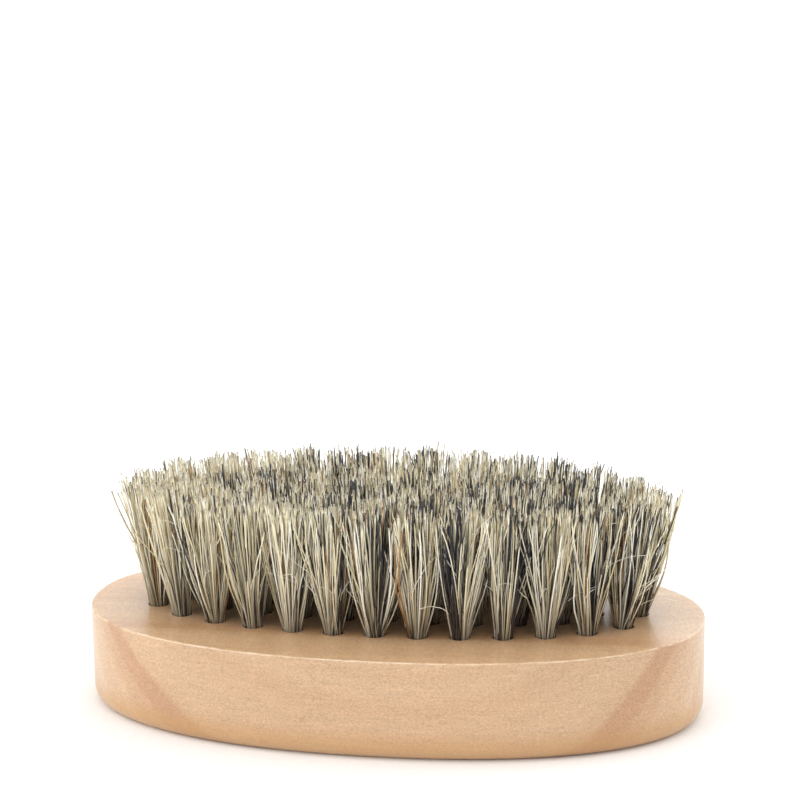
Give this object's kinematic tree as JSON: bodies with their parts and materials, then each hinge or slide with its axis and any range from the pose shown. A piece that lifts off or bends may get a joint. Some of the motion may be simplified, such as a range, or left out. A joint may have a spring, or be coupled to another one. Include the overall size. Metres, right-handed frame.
{
  "type": "beard brush",
  "caption": "Oval palm brush for beards: a flat-backed lacquered hardwood block with rings of upright mixed natural bristle tufts.",
  "frame": {"origin": "centre of the flat back face of the wooden block, which the brush stands on", "axes": "+X along the brush's length, +Y across it, +Z from the flat back up to the bristle tips"},
  "size_m": [0.095, 0.05, 0.0353],
  "materials": {
    "hardwood": "clear satin lacquer",
    "bristle": "mixed cream, grey-blond and black natural bristle",
    "anchor_wire": "drawn flat wire"
  },
  "bodies": {
    "root": {"wood_block": "hardwood", "tuft_outer_01": "bristle", "tuft_outer_02": "bristle", "tuft_outer_03": "bristle", "tuft_outer_04": "bristle", "tuft_outer_05": "bristle", "tuft_outer_06": "bristle", "tuft_outer_07": "bristle", "tuft_outer_08": "bristle", "tuft_outer_09": "bristle", "tuft_outer_10": "bristle", "tuft_outer_11": "bristle", "tuft_outer_12": "bristle", "tuft_outer_13": "bristle", "tuft_outer_14": "bristle", "tuft_outer_15": "bristle", "tuft_outer_16": "bristle", "tuft_outer_17": "bristle", "tuft_outer_18": "bristle", "tuft_outer_19": "bristle", "tuft_outer_20": "bristle", "tuft_outer_21": "bristle", "tuft_outer_22": "bristle", "tuft_outer_23": "bristle", "tuft_outer_24": "bristle", "tuft_outer_25": "bristle", "tuft_outer_26": "bristle", "tuft_outer_27": "bristle", "tuft_inner_01": "bristle", "tuft_inner_02": "bristle", "tuft_inner_03": "bristle", "tuft_inner_04": "bristle", "tuft_inner_05": "bristle", "tuft_inner_06": "bristle", "tuft_inner_07": "bristle", "tuft_inner_08": "bristle", "tuft_inner_09": "bristle", "tuft_inner_10": "bristle", "tuft_inner_11": "bristle", "tuft_inner_12": "bristle", "tuft_inner_13": "bristle", "tuft_inner_14": "bristle", "tuft_inner_15": "bristle", "tuft_inner_16": "bristle", "tuft_inner_17": "bristle", "tuft_inner_18": "bristle", "tuft_inner_19": "bristle", "tuft_inner_20": "bristle", "tuft_middle_01": "bristle", "tuft_middle_02": "bristle", "tuft_middle_03": "bristle", "tuft_middle_04": "bristle", "tuft_middle_05": "bristle", "tuft_middle_06": "bristle", "tuft_middle_07": "bristle"}
  },
  "joints": []
}
